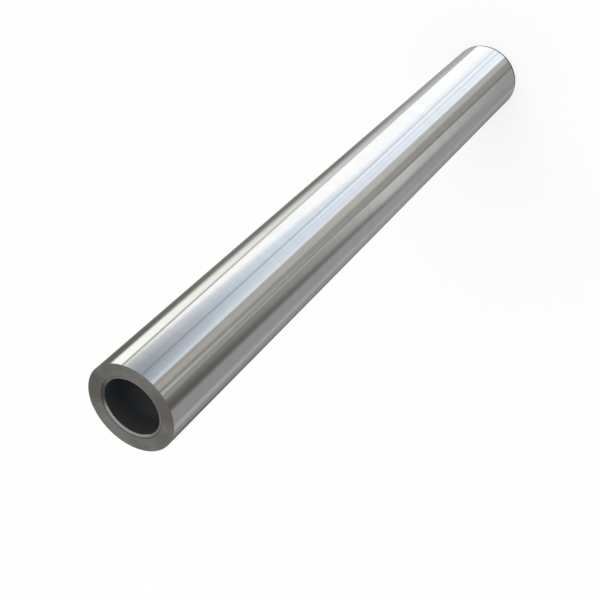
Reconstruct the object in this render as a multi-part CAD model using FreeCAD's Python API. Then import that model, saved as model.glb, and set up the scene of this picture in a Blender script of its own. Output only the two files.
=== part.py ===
"""One jumbo roll of aluminium foil: a winding of foil on an open metal core.

Units are millimetres. The roll stands on its end. The origin is on the roll's axis, in the plane
of the lower end face, and +Z runs up the axis. The foil's free tail lies on the +Y side.
"""

import FreeCAD, Part
import os
from FreeCAD import Vector
from math import cos, radians, sin

# Driving dimensions of the core
core_bore = 76.0            # inside diameter, for a three-inch shaft or chuck
core_wall = 4.0             # wall of the core tube
core_mouth_bevel = 2.0      # bevel at the inner edge of each mouth
core_rim_bevel = 0.6        # bevel at the outer edge of each mouth
core_setback = 0.5          # how far each core end lies inside the foil's end face

# Driving dimensions of the wound foil
foil_width = 1060.0         # width of the foil, so the height of the standing roll
foil_build = 18.0           # radial thickness of all the turns together
inner_turn_bevel = 0.6      # the first turns lean away from the core at each end
outer_turn_bevel = 0.5      # the last turns are rubbed back at each end

# Driving dimensions of the turns that show on the end faces
shown_turns = 10            # turns of the spiral, each for the many thin turns of the real foil
sunk_share = 0.5            # how much of each shown turn has drifted inwards
sunk_depth = 0.35           # how far the sunk turns lie under the end face
level_margin = 0.3          # level turns between the spiral and the bevels on either side of it

# Driving dimensions of the free tail of the last turn
tail_angle = 58.0           # direction of the tail's edge from +X, in degrees
tail_arc = 14.0             # length of turn that has lifted, in degrees
tail_lift = 0.4             # how far the edge stands off the turn under it

# Sizes that follow
core_inner_radius = core_bore / 2
core_outer_radius = core_inner_radius + core_wall
foil_outer_radius = core_outer_radius + foil_build
spiral_start = core_outer_radius + inner_turn_bevel + level_margin
spiral_limit = foil_outer_radius - outer_turn_bevel - level_margin
spiral_pitch = (spiral_limit - spiral_start) / (shown_turns + sunk_share)

# Directions and turns
axis_foot = Vector(0, 0, 0)
axis_up = Vector(0, 0, 1)
full_turn = 360.0
half_turn = 180.0


def polar(radius, degrees):
    """A point in the plane z = 0, at a radius and a direction round the axis."""
    return Vector(radius * cos(radians(degrees)), radius * sin(radians(degrees)), 0)


def revolved(outline):
    """A solid of revolution round the axis from (radius, height) points, closed to the first."""
    points = [Vector(radius, 0, height) for radius, height in outline]
    face = Part.Face(Part.makePolygon(points + points[:1]))
    return face.revolve(axis_foot, axis_up, full_turn)


def both_ends(lower_outline):
    """An outline given from inside to outside at the lower end, carried round to the upper end."""
    upper_outline = [(radius, foil_width - height) for radius, height in reversed(lower_outline)]
    return lower_outline + upper_outline


def core_tube():
    """The open core, with both mouths bevelled inside and outside."""
    lower_end = [
        (core_inner_radius, core_setback + core_mouth_bevel),
        (core_inner_radius + core_mouth_bevel, core_setback),
        (core_outer_radius - core_rim_bevel, core_setback),
        (core_outer_radius, core_setback + core_rim_bevel),
    ]
    return revolved(both_ends(lower_end))


def end_outline():
    """The lower end face from the core outwards, level between the first and the last turns."""
    return [
        (core_outer_radius, inner_turn_bevel),
        (core_outer_radius + inner_turn_bevel, 0.0),
        (foil_outer_radius - outer_turn_bevel, 0.0),
        (foil_outer_radius + tail_lift, outer_turn_bevel + tail_lift),
    ]


def spiral(start_radius):
    """A spiral that widens by one pitch a turn: half circles round two centres by turns."""
    centres = [axis_foot, polar(spiral_pitch / 2, tail_angle)]
    edges = []
    for half in range(2 * shown_turns):
        centre = centres[half % 2]
        radius = start_radius + half * spiral_pitch / 2
        start_angle = tail_angle + half * half_turn
        start, middle, end = [
            centre + polar(radius, start_angle + share * half_turn) for share in (0.0, 0.5, 1.0)
        ]
        edges.append(Part.Arc(start, middle, end).toShape())
    return edges


def sunk_turns(foot):
    """What the sunk turns of one end face leave open: a spiral channel that starts at a height."""
    inner_edge = spiral(spiral_start)
    outer_edge = spiral(spiral_start + spiral_pitch * sunk_share)
    first_step = Part.makeLine(inner_edge[0].firstVertex().Point, outer_edge[0].firstVertex().Point)
    last_step = Part.makeLine(inner_edge[-1].lastVertex().Point, outer_edge[-1].lastVertex().Point)
    outline = Part.Wire(inner_edge + [last_step] + outer_edge[::-1] + [first_step])
    channel = Part.Face(outline).extrude(axis_up * sunk_depth)
    return channel.translated(axis_up * foot)


def lifted_radius(share):
    """Radius of the lifted stretch at a share of its way to the tail's edge."""
    return foil_outer_radius + tail_lift * share ** 2


def winding_section():
    """The foil's section as a face: a circle whose last stretch lifts and ends in a step."""
    lift_start = tail_angle - tail_arc
    lift_middle = tail_angle - tail_arc / 2
    tight_turn = Part.Arc(
        polar(foil_outer_radius, tail_angle),
        polar(foil_outer_radius, tail_angle + half_turn),
        polar(foil_outer_radius, lift_start),
    )
    lifted_turn = Part.Arc(
        polar(foil_outer_radius, lift_start),
        polar(lifted_radius(0.5), lift_middle),
        polar(lifted_radius(1.0), tail_angle),
    )
    tail_edge = Part.LineSegment(
        polar(lifted_radius(1.0), tail_angle),
        polar(foil_outer_radius, tail_angle),
    )
    return Part.Face(Part.Wire([tight_turn.toShape(), lifted_turn.toShape(), tail_edge.toShape()]))


def foil_winding():
    """All the turns as one solid: the section along the roll, with a spiral of turns at each end."""
    turns = winding_section().extrude(axis_up * foil_width)
    envelope = revolved(both_ends(end_outline()))
    spirals = [sunk_turns(0.0), sunk_turns(foil_width - sunk_depth)]
    (winding,) = turns.common(envelope).cut(spirals).Solids
    return winding


def main():
    os.makedirs("parts", exist_ok=True)
    pieces = {"core_tube": core_tube(), "foil_winding": foil_winding()}
    for node, shape in pieces.items():
        shape.exportStep(f"parts/{node}.step")
        print(node, "is", round(shape.Volume), "cubic millimetres")


main()
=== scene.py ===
"""Looks of one jumbo roll of aluminium foil, standing on its end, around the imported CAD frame.

Lengths are metres, in the frame of the CAD: the roll's axis is Z, and the lower end face lies in
z = 0. Directions on the roll are degrees from +X towards +Y. Directions in the studio are degrees
from the camera's side, which is -Y, towards +X.
"""

from __future__ import annotations

import logging
from dataclasses import dataclass, field
from enum import Enum
from math import cos, degrees, pi, radians, sin, tau
from typing import Any, Mapping, Sequence

import bpy
from mathutils import Matrix, Vector


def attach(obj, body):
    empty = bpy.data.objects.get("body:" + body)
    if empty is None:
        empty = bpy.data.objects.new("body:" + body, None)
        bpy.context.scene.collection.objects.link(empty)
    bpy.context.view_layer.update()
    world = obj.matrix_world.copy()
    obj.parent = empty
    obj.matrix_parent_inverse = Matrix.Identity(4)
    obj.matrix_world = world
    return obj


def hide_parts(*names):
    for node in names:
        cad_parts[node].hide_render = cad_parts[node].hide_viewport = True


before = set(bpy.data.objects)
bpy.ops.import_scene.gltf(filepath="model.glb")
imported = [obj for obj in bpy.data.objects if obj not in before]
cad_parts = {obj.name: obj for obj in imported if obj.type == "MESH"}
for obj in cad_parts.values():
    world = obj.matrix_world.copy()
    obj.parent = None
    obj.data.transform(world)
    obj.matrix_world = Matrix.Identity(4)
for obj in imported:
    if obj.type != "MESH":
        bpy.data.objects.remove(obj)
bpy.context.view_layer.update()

MM = 0.001
WHITE = (1.0, 1.0, 1.0)
LOG = logging.getLogger("foil_roll")

# Sizes that the core and the winding share
ROLL_WIDTH = 1060 * MM
BORE_RADIUS = 38 * MM
CORE_WALL = 4 * MM
CORE_RADIUS = BORE_RADIUS + CORE_WALL

Pair = tuple[float, float]
Colour = tuple[float, float, float]
Point = tuple[float, float, float]
Span = tuple[float, float, float]
Shares = tuple[float, ...]
Grid = dict[tuple[int, int], int]
Link = bpy.types.NodeSocket


class Tint(Enum):
    """The cast of a strip of the studio, as shares of its level in red, green and blue."""

    NEUTRAL = WHITE
    SKY = (0.86, 0.96, 1.05)
    PALE_SKY = (0.93, 0.98, 1.03)
    WARM = (1.10, 1.0, 0.86)
    SAND = (1.07, 1.0, 0.89)
    PALE_SAND = (1.01, 1.0, 0.955)
    CREAM = (1.005, 1.0, 0.93)


class RollEnd(Enum):
    """One of the roll's two cut ends. Its value is the order in which a face lists its corners."""

    LOWER = -1
    UPPER = 1


class Num:
    """A number socket of a shader, on which Python's operators add Math nodes."""

    def __init__(self, bench: Bench, socket: Link) -> None:
        """Keeps the socket, and the bench that adds nodes to it."""
        self.bench = bench
        self.socket = socket

    def __neg__(self) -> Num:
        """The number with its sign turned."""
        return self * -1.0

    def __add__(self, other: Num | float) -> Num:
        """The sum."""
        return self.bench.math("ADD", self, other)

    def __sub__(self, other: Num | float) -> Num:
        """The difference."""
        return self.bench.math("SUBTRACT", self, other)

    def __rsub__(self, other: float) -> Num:
        """The difference from a plain number."""
        return self.bench.math("SUBTRACT", other, self)

    def __mul__(self, other: Num | float) -> Num:
        """The product."""
        return self.bench.math("MULTIPLY", self, other)

    def __truediv__(self, other: Num | float) -> Num:
        """The quotient."""
        return self.bench.math("DIVIDE", self, other)

    def __rtruediv__(self, other: float) -> Num:
        """A plain number divided by this one."""
        return self.bench.math("DIVIDE", other, self)

    def __pow__(self, power: Num | float) -> Num:
        """The number raised to a power."""
        return self.bench.math("POWER", self, power)

    def __rpow__(self, base: float) -> Num:
        """A plain number raised to this power."""
        return self.bench.math("POWER", base, self)

    __radd__ = __add__
    __rmul__ = __mul__


class Bench:
    """The node tree of a finish or of the world, and the methods that fill it.

    The fullest share is how much of a stretch's half width it fills before it starts to fade.
    """

    fullest_share: float = 0.2

    def __init__(self, tree: bpy.types.NodeTree) -> None:
        """Empties the tree and starts on it."""
        self.tree = tree
        tree.nodes.clear()

    def add(
        self, kind: str, settings: Mapping[str, Any], sockets: Mapping[str, Any]
    ) -> bpy.types.Node:
        """Adds one node.

        Args:
            kind: the node's type, without the word ShaderNode.
            settings: its properties, which are set first.
            sockets: a value or a link for each input socket, by the socket's identifier.

        Returns:
            The new node.
        """
        node = self.tree.nodes.new("ShaderNode" + kind)
        for name, value in settings.items():
            setattr(node, name, value)
        inputs = {socket.identifier: socket for socket in node.inputs}
        for name, value in sockets.items():
            value = value.socket if isinstance(value, Num) else value
            if isinstance(value, Link):
                self.tree.links.new(value, inputs[name])
            else:
                inputs[name].default_value = value
        return node

    def math(self, operation: str, *terms: Num | float, clamp: bool = False) -> Num:
        """Adds a Math node.

        Args:
            operation: what the node works out.
            terms: its numbers, each plain or a link.
            clamp: whether the result is kept between 0 and 1.

        Returns:
            The result.
        """
        settings = {"operation": operation, "use_clamp": clamp}
        names = ("Value", "Value_001", "Value_002")
        return Num(self, self.add("Math", settings, dict(zip(names, terms))).outputs[0])

    def step(self, value: Num, low: Num | float, high: Num | float) -> Num:
        """A smooth step from 0 where the value is low to 1 where it is high."""
        sockets = {"Value": value, "From Min": low, "From Max": high}
        return Num(self, self.add("MapRange", {"interpolation_type": "SMOOTHSTEP"}, sockets).outputs[0])

    def mix(self, share: Num | float, first: Any, second: Any) -> Link:
        """Mixes two colours.

        Args:
            share: how much of the second colour there is, from 0 to 1.
            first: the first colour, plain or a link.
            second: the second colour, plain or a link.

        Returns:
            The mixed colour.
        """
        first, second = ((*one, 1.0) if isinstance(one, tuple) else one for one in (first, second))
        sockets = {"Factor_Float": share, "A_Color": first, "B_Color": second}
        node = self.add("Mix", {"data_type": "RGBA"}, sockets)
        return next(socket for socket in node.outputs if socket.identifier == "Result_Color")

    def dim(self, colour: Any, level: Num) -> Link:
        """A colour, plain or a link, times a level."""
        sockets = {"Vector": colour, "Scale": level}
        return self.add("VectorMath", {"operation": "SCALE"}, sockets).outputs[0]

    def parts(self, vector: Link) -> tuple[Num, Num, Num]:
        """The three numbers of a vector."""
        x, y, z = self.add("SeparateXYZ", {}, {"Vector": vector}).outputs
        return Num(self, x), Num(self, y), Num(self, z)

    def level_length(self, x: Num, y: Num) -> Num:
        """The length of x and y together, which is a radius where they start at the roll's axis."""
        return self.math("SQRT", x * x + y * y)

    @staticmethod
    def blend(shares: Shares, *values: Num) -> Num:
        """The sum of some values, each times its share."""
        first, *others = (value * share for value, share in zip(values, shares))
        return sum(others, first)

    def grain(self, place: Link, stretch: Point, detail: float) -> Num:
        """Noise with a size of its own along each axis.

        Args:
            place: the coordinates.
            stretch: features per metre along X, Y and Z.
            detail: how many finer layers the noise has.

        Returns:
            The noise, about a half on average.
        """
        stretched = {"Vector": place, "Vector_001": stretch}
        scaled = self.add("VectorMath", {"operation": "MULTIPLY"}, stretched).outputs[0]
        sockets = {"Vector": scaled, "Scale": 1.0, "Detail": detail}
        return Num(self, self.add("TexNoise", {}, sockets).outputs[0])

    def lines(self, value: Num, per_metre: float, detail: float) -> Num:
        """Noise along one number, so uneven lines where that number is a radius or a height."""
        sockets = {"W": value * per_metre, "Scale": 1.0, "Detail": detail}
        return Num(self, self.add("TexNoise", {"noise_dimensions": "1D"}, sockets).outputs[0])

    def stretch_round(self, x: Num, y: Num, centre: float, half_width: float) -> Num:
        """Marks a stretch round the roll's axis.

        Args:
            x: distance from the axis along X.
            y: distance from the axis along Y.
            centre: the middle of the stretch, in degrees from +X towards +Y.
            half_width: degrees from the middle to where the stretch has faded out.

        Returns:
            1 about the middle, and less towards both sides.
        """
        along = x * cos(radians(centre)) + y * sin(radians(centre))
        faded = cos(radians(half_width))
        fullest = cos(radians(half_width * self.fullest_share))
        return self.step(along / self.level_length(x, y), faded, fullest)

    def bump(self, height: Num, depth: float, under: Link | None = None) -> Link:
        """Leans the normal as an uneven surface would.

        Args:
            height: the surface's height, from 0 to 1.
            depth: what a height of 1 stands for, in metres.
            under: another normal that this one goes over.

        Returns:
            The normal.
        """
        sockets = {"Height": height, "Distance": depth, "Strength": 1.0}
        if under is not None:
            sockets["Normal"] = under
        return self.add("Bump", {}, sockets).outputs[0]


class Finish:
    """A finish of the roll: a Principled shader whose sockets each kind of finish fills.

    A grain is a number of features per metre along X, Y and Z. Shares say how much each of the
    noises tells in the tone, in the order in which the finish makes them. The tone's limits are
    where the darker colour starts to give way and where the lighter one is reached.
    """

    name: str = "finish"

    def sockets(self, bench: Bench, place: Link) -> dict[str, Any]:
        """What the finish puts into the shader.

        Args:
            bench: the bench of its material.
            place: the coordinates in the frame of the roll, in metres.

        Returns:
            A value or a link for each socket of the shader.
        """
        raise NotImplementedError

    def make(self) -> bpy.types.Material:
        """Makes the finish's material.

        Returns:
            The new material.
        """
        material = bpy.data.materials.new(self.name)
        material.use_nodes = True
        bench = Bench(material.node_tree)
        place = bench.add("TexCoord", {}, {}).outputs["Object"]
        shader = bench.add("BsdfPrincipled", {}, self.sockets(bench, place))
        bench.add("OutputMaterial", {}, {"Surface": shader.outputs[0]})
        return material


@dataclass(frozen=True)
class BrightFoil(Finish):
    """The last turn's face: bright rolled foil with fine lines round the roll, painted dark at its foot
    as shade.
    """

    name: str = "bright_foil"
    colour: Colour = (0.905, 0.91, 0.915)
    dull_colour: Colour = (0.84, 0.845, 0.85)
    # The next two fields paint a dark band of shade at the roll's foot, where it stands on the floor
    foot_shade_colour: Colour = (0.17, 0.17, 0.165)
    foot_shade_heights: Pair = (3.0 * MM, 5.0 * MM)
    rolling_grain: Point = (14.0, 14.0, 2600.0)
    patch_grain: Point = (26.0, 26.0, 4.0)
    rings_per_metre: float = 46.0
    tone_shares: Shares = (0.5, 0.3, 0.2)
    tone_limits: Pair = (0.40, 0.60)
    smoothest: float = 0.045
    spread: float = 0.075
    unevenness: float = 0.10 * MM
    uneven_shares: Shares = (0.6, 0.4)
    line_depth: float = 0.003 * MM

    def sockets(self, bench: Bench, place: Link) -> dict[str, Any]:
        """Rolling lines, broad patches and rings, which vary the colour, the gloss and the normal.

        Args:
            bench: the bench of its material.
            place: the coordinates in the frame of the roll, in metres.

        Returns:
            A value or a link for each socket of the shader.
        """
        _, _, height = bench.parts(place)
        rolling = bench.grain(place, self.rolling_grain, detail=3.0)
        patches = bench.grain(place, self.patch_grain, detail=2.0)
        rings = bench.lines(height, self.rings_per_metre, detail=3.0)
        tone = bench.blend(self.tone_shares, rolling, patches, rings)
        uneven = bench.bump(bench.blend(self.uneven_shares, patches, rings), self.unevenness)
        base_tone = bench.mix(bench.step(tone, *self.tone_limits), self.dull_colour, self.colour)
        # Painted shade: a dark band at the foot, where the roll stands on the floor
        above_foot = bench.step(height, *self.foot_shade_heights)
        return {
            "Base Color": bench.mix(above_foot, self.foot_shade_colour, base_tone),
            "Metallic": 1.0,
            "Roughness": tone * self.spread + self.smoothest,
            "Normal": bench.bump(rolling, self.line_depth, uneven),
        }


@dataclass(frozen=True)
class CutTurns(Finish):
    """The slit edges of the turns: satin grey, with lines where groups of turns part."""

    name: str = "cut_turns"
    colour: Colour = (0.515, 0.50, 0.46)
    dark_colour: Colour = (0.335, 0.325, 0.30)
    soiled_colour: Colour = (0.325, 0.305, 0.275)
    soiled_angles: Pair = (28.0, 240.0)
    soiled_half_width: float = 32.0
    turns_per_metre: float = 5200.0
    groups_per_metre: float = 620.0
    cloud_grain: Point = (34.0, 34.0, 34.0)
    tone_shares: Shares = (0.25, 0.3, 0.45)
    tone_limits: Pair = (0.34, 0.66)
    roughness: float = 0.36
    spread: float = 0.16
    line_depth: float = 0.03 * MM

    def sockets(self, bench: Bench, place: Link) -> dict[str, Any]:
        """Fine lines and broader groups of lines round the axis, under clouds and two dull smears.

        Args:
            bench: the bench of its material.
            place: the coordinates in the frame of the roll, in metres.

        Returns:
            A value or a link for each socket of the shader.
        """
        x, y, _ = bench.parts(place)
        radius = bench.level_length(x, y)
        turns = bench.lines(radius, self.turns_per_metre, detail=1.0)
        groups = bench.lines(radius, self.groups_per_metre, detail=2.0)
        clouds = bench.grain(place, self.cloud_grain, detail=2.0)
        tone = bench.blend(self.tone_shares, turns, groups, clouds)
        base_tone = bench.mix(bench.step(tone, *self.tone_limits), self.dark_colour, self.colour)
        first_smear, second_smear = (
            bench.stretch_round(x, y, angle, self.soiled_half_width) for angle in self.soiled_angles
        )
        return {
            "Base Color": bench.mix(first_smear + second_smear, base_tone, self.soiled_colour),
            "Metallic": 1.0,
            "Roughness": groups * self.spread + self.roughness,
            "Normal": bench.bump(turns, self.line_depth),
        }


@dataclass(frozen=True)
class TurnedRim(Finish):
    """The machined mouths of the core: grey metal with fine turning lines.

    The inner bevel is worn bright up to the first worn radius, and the seam against the foil is
    painted dark from the second seam radius outwards, as shade in the gap between core and foil.
    """

    name: str = "turned_rim"
    colour: Colour = (0.53, 0.53, 0.50)
    dark_colour: Colour = (0.41, 0.41, 0.39)
    worn_colour: Colour = (0.58, 0.58, 0.575)
    worn_radii: Pair = (BORE_RADIUS + 1.8 * MM, BORE_RADIUS + 2.2 * MM)
    # The seam's colour paints shade in the gap between core and foil, and also colours the smear's dirt
    seam_shade_and_smear_colour: Colour = (0.16, 0.16, 0.15)
    seam_radii: Pair = (CORE_RADIUS - 0.7 * MM, CORE_RADIUS - 0.2 * MM)
    smear_angle: float = 28.0
    smear_half_width: float = 36.0
    cuts_per_metre: float = 4000.0
    cloud_grain: Point = (60.0, 60.0, 60.0)
    tone_shares: Shares = (0.5, 0.5)
    tone_limits: Pair = (0.35, 0.65)
    roughness: float = 0.26
    spread: float = 0.14
    line_depth: float = 0.02 * MM

    def sockets(self, bench: Bench, place: Link) -> dict[str, Any]:
        """Turning lines, a bevel worn bright by shafts, painted shade in the seam and a smear of dirt as
        dark.

        Args:
            bench: the bench of its material.
            place: the coordinates in the frame of the roll, in metres.

        Returns:
            A value or a link for each socket of the shader.
        """
        x, y, _ = bench.parts(place)
        radius = bench.level_length(x, y)
        cuts = bench.lines(radius, self.cuts_per_metre, detail=1.0)
        clouds = bench.grain(place, self.cloud_grain, detail=2.0)
        tone = bench.step(bench.blend(self.tone_shares, cuts, clouds), *self.tone_limits)
        turned = bench.mix(tone, self.dark_colour, self.colour)
        bare = bench.mix(bench.step(radius, *self.worn_radii), self.worn_colour, turned)
        # Painted shade in the seam against the foil, joined below with the smear's dirt
        seam = bench.step(radius, *self.seam_radii)
        smear = bench.stretch_round(x, y, self.smear_angle, self.smear_half_width)
        seam_shade_and_dirt = 1.0 - (1.0 - seam) * (1.0 - smear)
        return {
            "Base Color": bench.mix(seam_shade_and_dirt, bare, self.seam_shade_and_smear_colour),
            "Metallic": 1.0,
            "Roughness": clouds * self.spread + self.roughness,
            "Normal": bench.bump(cuts, self.line_depth),
        }


@dataclass(frozen=True)
class DarkBore(Finish):
    """The core's inside wall: drawn tube with streaks along it, painted near-black near the mouths as
    shade.
    """

    name: str = "dark_bore"
    # The near-black colour is painted shade, full near the mouths; deeper in, streaks mix it with the
    # deep colour
    colour: Colour = (0.030, 0.032, 0.035)
    deep_colour: Colour = (0.145, 0.155, 0.165)
    half_width: float = ROLL_WIDTH / 2
    mouth_shade_depths: Pair = (24 * MM, 68 * MM)
    streak_grain: Point = (260.0, 260.0, 5.0)
    spot_grain: Point = (90.0, 90.0, 70.0)
    tone_shares: Shares = (0.5, 0.5)
    contrast: float = 1.6
    roughness: float = 0.52
    spread: float = 0.20
    specular: float = 0.25
    streak_depth: float = 0.08 * MM

    def sockets(self, bench: Bench, place: Link) -> dict[str, Any]:
        """Streaks along the tube, with painted shade that makes it darkest near the mouths.

        Args:
            bench: the bench of its material.
            place: the coordinates in the frame of the roll, in metres.

        Returns:
            A value or a link for each socket of the shader.
        """
        _, _, height = bench.parts(place)
        streaks = bench.grain(place, self.streak_grain, detail=3.0)
        spots = bench.grain(place, self.spot_grain, detail=3.0)
        from_mouth = self.half_width - bench.math("ABSOLUTE", height - self.half_width)
        # Painted shade: the bore keeps the near-black colour near both mouths
        beyond_mouth_shade = bench.step(from_mouth, *self.mouth_shade_depths)
        tone = bench.blend(self.tone_shares, streaks, spots) * beyond_mouth_shade
        return {
            "Base Color": bench.mix(tone * self.contrast, self.colour, self.deep_colour),
            "Metallic": 0.0,
            "Roughness": spots * self.spread + self.roughness,
            "Specular IOR Level": self.specular,
            "Normal": bench.bump(streaks, self.streak_depth),
        }


@dataclass
class MeshPad:
    """The vertices and faces of a piece while it is drawn, with the finish of each face."""

    finishes: Sequence[Finish]
    sharp_angle: float = 32.0
    points: list[Point] = field(default_factory=list)
    faces: list[list[int]] = field(default_factory=list)
    finish_of_face: list[int] = field(default_factory=list)

    def add_point(self, radius: float, angle: float, height: float) -> int:
        """Adds a vertex at a radius and an angle in radians round the axis; returns its number."""
        self.points.append((radius * cos(angle), radius * sin(angle), height))
        return len(self.points) - 1

    def add_face(self, corners: Sequence[int], finish: Finish) -> None:
        """Adds a face.

        Args:
            corners: the numbers of its vertices. One that repeats the one before it is left out.
            finish: the finish that the face takes.
        """
        kept = [corner for index, corner in enumerate(corners) if corner != corners[index - 1]]
        self.faces.append(kept)
        self.finish_of_face.append(self.finishes.index(finish))

    def make_piece(self, name: str, node: str, slot: str) -> bpy.types.Object:
        """Turns the drawing into a piece of the roll.

        Args:
            name: the piece's name.
            node: the CAD node that it replaces.
            slot: the material slot of the record; it is not used.

        Returns:
            The new object, which rides on the roll's one body.
        """
        mesh = bpy.data.meshes.new(name)
        mesh.from_pydata(self.points, [], self.faces)
        for finish in self.finishes:
            mesh.materials.append(finish.make())
        mesh.polygons.foreach_set("material_index", self.finish_of_face)
        mesh.polygons.foreach_set("use_smooth", [True] * len(self.faces))
        mesh.set_sharp_from_angle(angle=radians(self.sharp_angle))
        mesh.update()
        piece = bpy.data.objects.new(name, mesh)
        bpy.context.scene.collection.objects.link(piece)
        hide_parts(node)
        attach(piece, "root")
        return piece


@dataclass(frozen=True)
class Wave:
    """A sine along a height, round an angle or over the turns, and its share in a sum of them."""

    pace: float
    share: float
    start: float = 0.0

    def at(self, place: float) -> float:
        """Its value at a place."""
        return sin(self.pace * place + self.start) * self.share


@dataclass
class FoilWinding:
    """All the turns of foil: one spiral from the core to the free tail, with both cut ends.

    Waves shape the tail's crinkles over the height, the stagger over the turns, and the slackness
    round the roll and along it. Slanted ones wind round it by the twist, in radians per metre.
    """

    width: float = ROLL_WIDTH
    core_radius: float = CORE_RADIUS
    build: float = 18 * MM
    turn_count: int = 45
    columns: int = 288
    rows: int = 90
    tail_angle: float = 58.0
    tail_arc: float = 14.0
    tail_lift: float = 0.4 * MM
    tail_crinkle: float = 0.16 * MM
    crinkle_waves: tuple[Wave, ...] = (Wave(61.0, 0.5), Wave(143.0, 0.3, 1.0), Wave(397.0, 0.2))
    groove: float = 0.07 * MM
    stagger: float = 0.35 * MM
    stagger_waves: tuple[Wave, ...] = (Wave(1.7, 0.5), Wave(2.9, 0.3, 1.0), Wave(0.6, 0.2))
    level_build: float = 1.0 * MM
    bevel: float = 0.5 * MM
    slackness: float = 0.03 * MM
    slack_round: Wave = Wave(7.0, 1.0, 0.8)
    slack_along: Wave = Wave(5.0, 1.0, 1.0)
    slack_slant: Wave = Wave(17.0, 0.6)
    slant_twist: float = 3.0 / 17.0
    last_turn: BrightFoil = BrightFoil()
    cut_ends: CutTurns = CutTurns()

    def __post_init__(self) -> None:
        """Sizes that follow, and the pad that the winding is drawn on."""
        self.pitch = self.build / self.turn_count
        self.rim = 2 * self.turn_count
        self.pad = MeshPad([self.last_turn, self.cut_ends])

    def angle(self, column: int) -> float:
        """Angle of a column in radians: the spiral starts and ends at the free tail."""
        return radians(self.tail_angle) + tau * column / self.columns

    def turn_start(self, turn: int, column: int) -> float:
        """Radius at which a turn starts at a column. The first turn thins out to nothing."""
        whole_turns = turn - 1 + column / self.columns if turn > 0 else 0.0
        return self.core_radius + self.pitch * whole_turns

    def ring_radius(self, ring: int, column: int) -> float:
        """Finds the radius of a ring.

        Args:
            ring: the ring's number. Even rings part two turns, and odd rings top a turn.
            column: the column.

        Returns:
            Its radius there.
        """
        first = self.turn_start(ring // 2, column)
        last = self.turn_start((ring + 1) // 2, column)
        return (first + last) / 2

    def lift(self, column: int, height: float) -> float:
        """Finds how far the last turn stands off near its free tail.

        Args:
            column: the column.
            height: the height up the roll, along which the tail's edge is crinkled.

        Returns:
            The distance outwards, which is 0 away from the tail.
        """
        lifted_columns = self.columns * self.tail_arc / 360.0
        share = max(0.0, 1.0 - (self.columns - column) / lifted_columns)
        wave = sum(wave.at(height) for wave in self.crinkle_waves)
        return share * share * (self.tail_lift - self.tail_crinkle * (1.0 + wave) / 2)

    def slack(self, column: int, height: float) -> float:
        """Finds the slight unevenness of the last turn.

        Args:
            column: the column.
            height: the height up the roll.

        Returns:
            The distance outwards, which is never more than 0.
        """
        angle = self.angle(column)
        broad = self.slack_round.at(angle) * self.slack_along.at(height)
        slanted = self.slack_slant.at(angle + height * self.slant_twist)
        highest = self.slack_round.share + self.slack_slant.share
        return self.slackness * ((broad + slanted) / highest - 1.0) / 2

    def depth(self, ring: int, radius: float) -> float:
        """Finds how far a ring of a cut end lies under the end plane.

        Args:
            ring: the ring's number, even where two turns part.
            radius: its radius there.

        Returns:
            The depth: turns that drifted while winding, a groove between turns, and the bevels.
        """
        turns = (radius - self.core_radius) / self.pitch
        to_core = radius - self.core_radius
        to_edge = self.build - to_core
        drift = (1.0 + sum(wave.at(turns) for wave in self.stagger_waves)) / 2
        free = min(1.0, to_core / self.level_build, to_edge / self.level_build)
        between = 0.0 if ring % 2 else self.groove
        rub = self.bevel * max(0.0, 1.0 - to_edge / self.bevel) ** 2
        lean = self.bevel * max(0.0, 1.0 - to_core / self.bevel)
        return max(self.stagger * drift * free + between, rub, lean)

    def draw_end(self, end: RollEnd) -> Grid:
        """Draws one cut end as a spiral of ridges and grooves.

        Args:
            end: which end.

        Returns:
            The number of the vertex at each ring and column. At the last column a turn runs into
            the start of the next one, apart from the outermost, whose free tail ends there.
        """
        grid: Grid = {}
        for column in range(self.columns + 1):
            for ring in range(self.rim + 1):
                # The first turn has no thickness where the spiral starts
                if column == 0 and ring in (1, 2):
                    grid[ring, column] = grid[0, 0]
                    continue
                if column == self.columns and ring + 2 <= self.rim:
                    grid[ring, column] = grid[ring + 2, 0]
                    continue
                radius = self.ring_radius(ring, column)
                depth = self.depth(ring, radius)
                height = self.width - depth if end is RollEnd.UPPER else depth
                stand_off = self.lift(column, height) if ring >= self.rim - 1 else 0.0
                grid[ring, column] = self.pad.add_point(radius + stand_off, self.angle(column), height)
        for column in range(self.columns):
            for ring in range(self.rim):
                corners = [(ring, column), (ring + 1, column), (ring + 1, column + 1), (ring, column + 1)]
                self.pad.add_face([grid[corner] for corner in corners[:: end.value]], self.cut_ends)
        return grid

    def draw_outside(self, lower: Grid, upper: Grid) -> None:
        """Draws the last turn's face and the edge of its free tail.

        Args:
            lower: the vertices of the lower cut end.
            upper: the vertices of the upper cut end.
        """
        rim, last = self.rim, self.columns
        ladder = [[lower[rim, column] for column in range(last + 1)]]
        for row in range(1, self.rows):
            height = self.width * row / self.rows
            rung = []
            for column in range(last + 1):
                lifted = self.ring_radius(rim, column) + self.lift(column, height)
                radius = lifted + self.slack(column, height)
                rung.append(self.pad.add_point(radius, self.angle(column), height))
            ladder.append(rung)
        ladder.append([upper[rim, column] for column in range(last + 1)])
        for row, (below, above) in enumerate(zip(ladder, ladder[1:])):
            for column in range(last):
                corners = [below[column], below[column + 1], above[column + 1], above[column]]
                self.pad.add_face(corners, self.last_turn)
            edge = [below[last], below[0], above[0], above[last]]
            if row == 0:
                edge.insert(1, lower[rim - 1, last])
            if row == self.rows - 1:
                edge.insert(-1, upper[rim - 1, last])
            self.pad.add_face(edge, self.last_turn)

    def draw_inside(self, lower: Grid, upper: Grid) -> None:
        """Draws the first turn's face, which lies on the core.

        Args:
            lower: the vertices of the lower cut end.
            upper: the vertices of the upper cut end.
        """
        for column in range(self.columns):
            corners = [lower[0, column], upper[0, column], upper[0, column + 1], lower[0, column + 1]]
            self.pad.add_face(corners, self.cut_ends)

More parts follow.
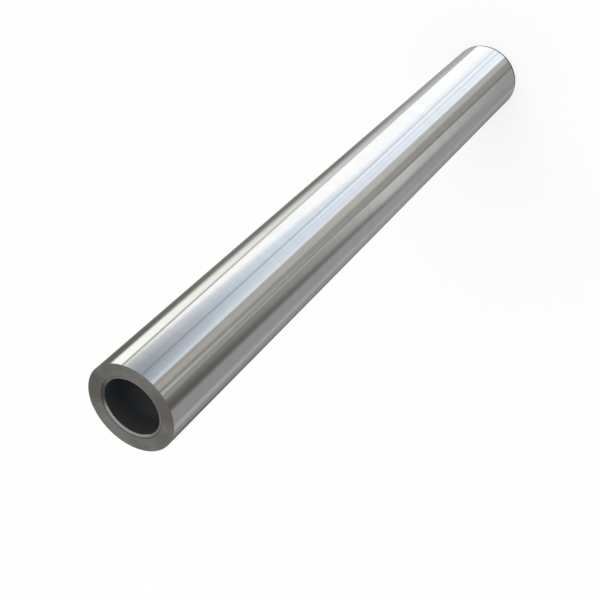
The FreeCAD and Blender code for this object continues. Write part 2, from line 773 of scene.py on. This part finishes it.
    def build_piece(self) -> bpy.types.Object:
        """Draws the winding as one closed mesh.

        Returns:
            The piece, which replaces the winding's CAD node.
        """
        lower = self.draw_end(RollEnd.LOWER)
        upper = self.draw_end(RollEnd.UPPER)
        self.draw_outside(lower, upper)
        self.draw_inside(lower, upper)
        return self.pad.make_piece("winding", "foil_winding", "foil")


@dataclass
class CoreTube:
    """The open core: a tube whose mouths are bevelled and turned."""

    width: float = ROLL_WIDTH
    setback: float = 0.5 * MM
    bore_radius: float = BORE_RADIUS
    outer_radius: float = CORE_RADIUS
    mouth_bevel: float = 2.0 * MM
    rim_bevel: float = 0.6 * MM
    edge_round: float = 0.2 * MM
    sharp_angle: float = 60.0
    columns: int = 224
    bore_rows: int = 24
    mouths: TurnedRim = TurnedRim()
    bore: DarkBore = DarkBore()

    def mouth(self) -> list[Pair]:
        """Outlines the lower mouth, with its edges eased.

        Returns:
            Points (radius, height) from the bore outwards.
        """
        ease = self.edge_round
        slant = ease * sin(pi / 4)
        return [
            (self.bore_radius, self.setback + self.mouth_bevel + ease),
            (self.bore_radius + slant, self.setback + self.mouth_bevel - slant),
            (self.bore_radius + self.mouth_bevel - slant, self.setback + slant),
            (self.bore_radius + self.mouth_bevel + ease, self.setback),
            (self.outer_radius - self.rim_bevel - ease, self.setback),
            (self.outer_radius - self.rim_bevel + slant, self.setback + slant),
            (self.outer_radius, self.setback + self.rim_bevel + ease),
        ]

    def outline(self) -> list[Pair]:
        """Outlines the tube's whole section.

        Returns:
            Points (radius, height): lower mouth, upper mouth, then down the bore in even rows.
        """
        mouth = self.mouth()
        foot = mouth[0][1]
        top = self.width - foot
        upper_mouth = [(radius, self.width - height) for radius, height in reversed(mouth)]
        rise = (top - foot) / self.bore_rows
        bore = [(self.bore_radius, top - rise * row) for row in range(1, self.bore_rows)]
        return mouth + upper_mouth + bore

    def build_piece(self) -> bpy.types.Object:
        """Draws the core as one closed mesh.

        Returns:
            The piece, which replaces the core's CAD node.
        """
        pad = MeshPad([self.mouths, self.bore], self.sharp_angle)
        outline = self.outline()
        count = len(outline)
        bore_start = 2 * len(self.mouth()) - 1
        for column in range(self.columns):
            for radius, height in outline:
                pad.add_point(radius, tau * column / self.columns, height)
        for column in range(self.columns):
            here = column * count
            there = (column + 1) % self.columns * count
            for index in range(count):
                after = (index + 1) % count
                finish = self.bore if index >= bore_start else self.mouths
                pad.add_face([here + index, there + index, there + after, here + after], finish)
        return pad.make_piece("core", "core_tube", "core_metal")


@dataclass(frozen=True)
class Strip:
    """One upright strip of the studio that the bright foil mirrors.

    The roll's top, middle and foot mirror the studio at different slopes. For each, the strip says
    where it starts and ends, in degrees from the camera's side, and how light it is. Soft says over
    how many degrees its two sides fade. Haste says how early it changes from top to middle: above 1
    most of the change comes near the top, and below 1 near the middle.
    """

    top: Span
    middle: Span
    foot: Span
    soft: Pair
    tint: Tint = Tint.NEUTRAL
    foot_tint: Tint = Tint.NEUTRAL
    haste: float = 1.0


# Strips towards -X, up to the camera's side. A later strip covers an earlier one.
DARK_SIDE = (
    Strip((-70, 3, 0.285), (-70, 3, 0.32), (-70, 3, 0.29), (10, 3), Tint.CREAM, Tint.CREAM),
    Strip((-68, -42, 0.105), (-80, -66, 0.20), (-82, -72, 0.36), (12, 22), Tint.CREAM),
    Strip((-46, -38, 0.15), (-69, -43, 0.56), (-70, -44, 0.30), (26, 4), Tint.CREAM, Tint.PALE_SAND, 0.5),
    Strip((-40, -34, 0.28), (-41.5, -35, 0.24), (-44, -37, 0.21), (4, 4), Tint.CREAM, Tint.CREAM, 0.5),
    Strip((-37, -33, 0.30), (-45, -40.5, 0.64), (-52, -47, 0.33), (5, 3), Tint.CREAM, Tint.CREAM, 0.5),
    Strip((-27, -22, 0.50), (-30, -27, 0.30), (-30, -27, 0.30), (3, 4), Tint.CREAM, Tint.CREAM, 1.5),
    Strip((-19, -15, 0.22), (-22, -18, 0.31), (-22, -18, 0.31), (3, 3), Tint.CREAM, Tint.CREAM, 2.0),
    Strip((-15, 3, 0.385), (-17, 3, 0.49), (-16, 3, 0.46), (6, 3), Tint.SAND, Tint.PALE_SAND),
    Strip((-3, 3, 0.32), (-2, 3, 0.52), (-2, 3, 0.46), (3, 3), Tint.CREAM, Tint.PALE_SKY),
)

# Strips towards +X, from the camera's side on
BRIGHT_SIDE = (
    Strip((4, 110, 0.51), (2.5, 101, 0.84), (2, 114, 1.04), (4, 10), Tint.SKY, Tint.SKY, 3.0),
    Strip((5, 11, 0.67), (4, 11, 0.87), (4, 11, 1.08), (3, 4), Tint.PALE_SKY, Tint.PALE_SKY, 3.0),
    Strip((20, 68, 0.37), (20, 38, 1.03), (20, 60, 1.05), (16, 22), Tint.SKY, Tint.PALE_SKY, 1.3),
    Strip((64, 110, 0.50), (64, 101, 0.81), (64, 114, 1.04), (28, 10), haste=3.0),
    Strip((23.5, 27.5, 0.44), (23, 27, 0.82), (27, 31, 0.74), (3, 3), Tint.SKY, Tint.SKY, 2.0),
    Strip((83, 120, 1.04), (44, 98, 1.10), (60, 114, 1.10), (18, 6), haste=0.85),
    Strip((34, 39, 0.29), (34.5, 39.5, 0.69), (43, 48, 0.86), (3, 3), Tint.SKY, Tint.SKY, 1.2),
    Strip((92, 120, 1.10), (100, 118, 0.66), (114, 134, 0.46), (8, 24), Tint.CREAM, Tint.PALE_SAND),
    Strip((85, 91, 0.38), (98, 104, 0.58), (113, 119, 0.42), (4, 4), Tint.CREAM),
)

# Strips behind the roll
FAR_SIDE = (
    Strip((122.5, 190, 0.13), (130, 190, 0.19), (138, 190, 0.54), (16, 4), Tint.WARM, haste=3.0),
    Strip((155, 190, 0.20), (152, 190, 0.25), (152, 190, 0.34), (16, 4), Tint.WARM),
    Strip((171, 190, 0.62), (171, 190, 0.62), (171, 190, 0.62), (8, 8)),
    Strip((186, 215, 0.09), (186, 210, 0.24), (186, 210, 0.20), (8, 44)),
    Strip((239, 252, 0.40), (234, 248, 0.37), (234, 248, 0.37), (8, 8)),
)


@dataclass(frozen=True)
class Studio:
    """The plain white room: a floor, one soft lamp, and the strips that only the metal mirrors.

    A slope is a fall per level length, and the least run keeps that length away from 0. The strips
    give way to the ceiling in directions that rise, between the two rises.
    """

    floor_side: float = 14.0
    floor_colour: Colour = (0.90, 0.90, 0.90)
    floor_glow: float = 0.75
    plain_level: float = 0.80
    wall_levels: Point = (0.285, 0.32, 0.29)
    ceiling_near: float = 0.52
    ceiling_far: float = 0.36
    ceiling_rises: Pair = (0.05, 0.35)
    top_slope: float = 0.76
    foot_slope: float = 1.82
    least_run: float = 0.001
    azimuth_seam: float = -98.0
    lamp_strength: float = 1.1
    lamp_softness: float = 50.0
    lamp_from: Point = (0.55, -0.45, 1.0)

    def build_floor(self) -> None:
        """The pale floor. The metal doesn't mirror it, and it keeps the roll's shadow."""
        half = self.floor_side / 2
        corners = [(-half, -half, 0), (half, -half, 0), (half, half, 0), (-half, half, 0)]
        mesh = bpy.data.meshes.new("floor")
        mesh.from_pydata(corners, [], [(0, 1, 2, 3)])
        floor = bpy.data.objects.new("floor", mesh)
        bpy.context.scene.collection.objects.link(floor)
        floor.visible_glossy = False
        material = bpy.data.materials.new("pale_floor")
        material.use_nodes = True
        bench = Bench(material.node_tree)
        paper = bench.add("BsdfDiffuse", {}, {"Color": (*self.floor_colour, 1.0)}).outputs[0]
        glow = bench.add("Emission", {}, {"Color": (*WHITE, 1.0), "Strength": 1.0}).outputs[0]
        path = bench.add("LightPath", {}, {}).outputs
        seen = Num(bench, path["Is Camera Ray"]) + Num(bench, path["Is Transmission Ray"])
        sockets = {"Fac": seen * self.floor_glow, "Shader": paper, "Shader_001": glow}
        both = bench.add("MixShader", {}, sockets)
        bench.add("OutputMaterial", {}, {"Surface": both.outputs[0]})
        mesh.materials.append(material)

    @staticmethod
    def along(upper_half: Num, lower_half: Num, values: Sequence[float]) -> Num:
        """A number that goes from its top value through its middle value to its foot value."""
        top, middle, foot = values
        return upper_half * (middle - top) + lower_half * (foot - middle) + top

    def mirrored_strips(self, bench: Bench, azimuth: Num, slope: Num) -> Link:
        """The colour of the strips in a direction.

        Args:
            bench: the world's bench.
            azimuth: degrees from the camera's side towards +X.
            slope: how steeply the direction goes down, as a fall per length.

        Returns:
            The colour that the metal mirrors there.
        """
        middle_slope = (self.top_slope + self.foot_slope) / 2
        reach = 1.0 / (middle_slope - self.top_slope)
        upper_half = bench.math("MULTIPLY", slope - self.top_slope, reach, clamp=True)
        lower_half = bench.math("MULTIPLY", slope - middle_slope, reach, clamp=True)
        fall = (upper_half + lower_half) * 0.5
        wall = self.along(upper_half, lower_half, self.wall_levels)
        colour = bench.dim(Tint.NEUTRAL.value, wall)
        for strip in DARK_SIDE + BRIGHT_SIDE + FAR_SIDE:
            hurried = 1.0 - (1.0 - upper_half) ** strip.haste
            start, end, level = (
                self.along(hurried, lower_half, values)
                for values in zip(strip.top, strip.middle, strip.foot)
            )
            fade_in, fade_out = (soft / 2 for soft in strip.soft)
            begun = bench.step(azimuth, start - fade_in, start + fade_in)
            ended = bench.step(azimuth, end - fade_out, end + fade_out)
            tint = bench.mix(fall, strip.tint.value, strip.foot_tint.value)
            colour = bench.mix(begun * (1.0 - ended), colour, bench.dim(tint, level))
        return colour

    def build_world(self) -> None:
        """White for the camera, plain for matt surfaces, and strips for what mirrors them."""
        world = bpy.data.worlds.new("studio")
        bpy.context.scene.world = world
        world.use_nodes = True
        world.cycles.sampling_method = "NONE"
        bench = Bench(world.node_tree)
        x, y, z = bench.parts(bench.add("TexCoord", {}, {}).outputs["Generated"])
        turned = bench.math("ARCTAN2", x, -y) * degrees(1.0)
        azimuth = bench.math("WRAP", turned, self.azimuth_seam + 360.0, self.azimuth_seam)
        level_run = bench.level_length(x, y) + self.least_run
        strips = self.mirrored_strips(bench, azimuth, -z / level_run)
        away = bench.step(y / level_run, -1.0, 1.0)
        ceiling = bench.mix(away, (self.ceiling_near,) * 3, (self.ceiling_far,) * 3)
        mirrored = bench.mix(bench.step(z, *self.ceiling_rises), strips, ceiling)
        path = bench.add("LightPath", {}, {}).outputs
        is_glossy = Num(bench, path["Is Glossy Ray"])
        is_matt = Num(bench, path["Is Diffuse Ray"])
        seen = bench.mix(is_matt, WHITE, (self.plain_level,) * 3)
        background = bench.add("Background", {}, {"Color": bench.mix(is_glossy, seen, mirrored)})
        bench.add("OutputWorld", {}, {"Surface": background.outputs[0]})

    def build_lamp(self) -> None:
        """One large soft lamp above, on the bright side of the roll."""
        light = bpy.data.lights.new("soft_lamp", "SUN")
        light.energy = self.lamp_strength
        light.angle = radians(self.lamp_softness)
        lamp = bpy.data.objects.new("soft_lamp", light)
        lamp.location = self.lamp_from
        lamp.rotation_euler = lamp.location.to_track_quat("Z", "Y").to_euler()
        lamp.visible_glossy = False
        bpy.context.scene.collection.objects.link(lamp)

    def build(self) -> None:
        """The whole studio."""
        self.build_floor()
        self.build_world()
        self.build_lamp()
        bpy.context.scene.view_settings.view_transform = "Standard"


@dataclass(frozen=True)
class PhotographCamera:
    """The camera at the photograph's viewing angle: it looks down on the roll, with a tilt.

    The tilt is in degrees, and the lens and the sensor are in a camera's millimetres.
    """

    place: Point = (0.0, -1.0507, 1.8166)
    forward: Point = (-0.03264, 0.69787, -0.71548)
    tilt: float = 135.015
    lens: float = 67.58
    sensor: float = 36.0

    def build(self) -> None:
        """Makes the camera and gives it to the scene."""
        forward = Vector(self.forward).normalized()
        side = forward.cross(Vector((0.0, 0.0, 1.0))).normalized()
        level_up = side.cross(forward)
        up = level_up * cos(radians(self.tilt)) + side * sin(radians(self.tilt))
        axes = Matrix((forward.cross(up), up, -forward)).transposed().to_4x4()
        optics = bpy.data.cameras.new("photograph_camera")
        optics.lens = self.lens
        optics.sensor_width = self.sensor
        optics.sensor_fit = "HORIZONTAL"
        camera = bpy.data.objects.new("photograph_camera", optics)
        camera.matrix_world = Matrix.Translation(self.place) @ axes
        bpy.context.scene.collection.objects.link(camera)
        bpy.context.scene.camera = camera


def main() -> None:
    """Builds the camera, the studio and the two pieces of the roll, in that order."""
    logging.basicConfig(level=logging.INFO, format="%(name)s: %(message)s")
    PhotographCamera().build()
    Studio().build()
    for assembly in (FoilWinding(), CoreTube()):
        piece = assembly.build_piece()
        mesh = piece.data
        LOG.info("%s: %d vertices, %d faces", piece.name, len(mesh.vertices), len(mesh.polygons))


if __name__ == "__main__":
    main()
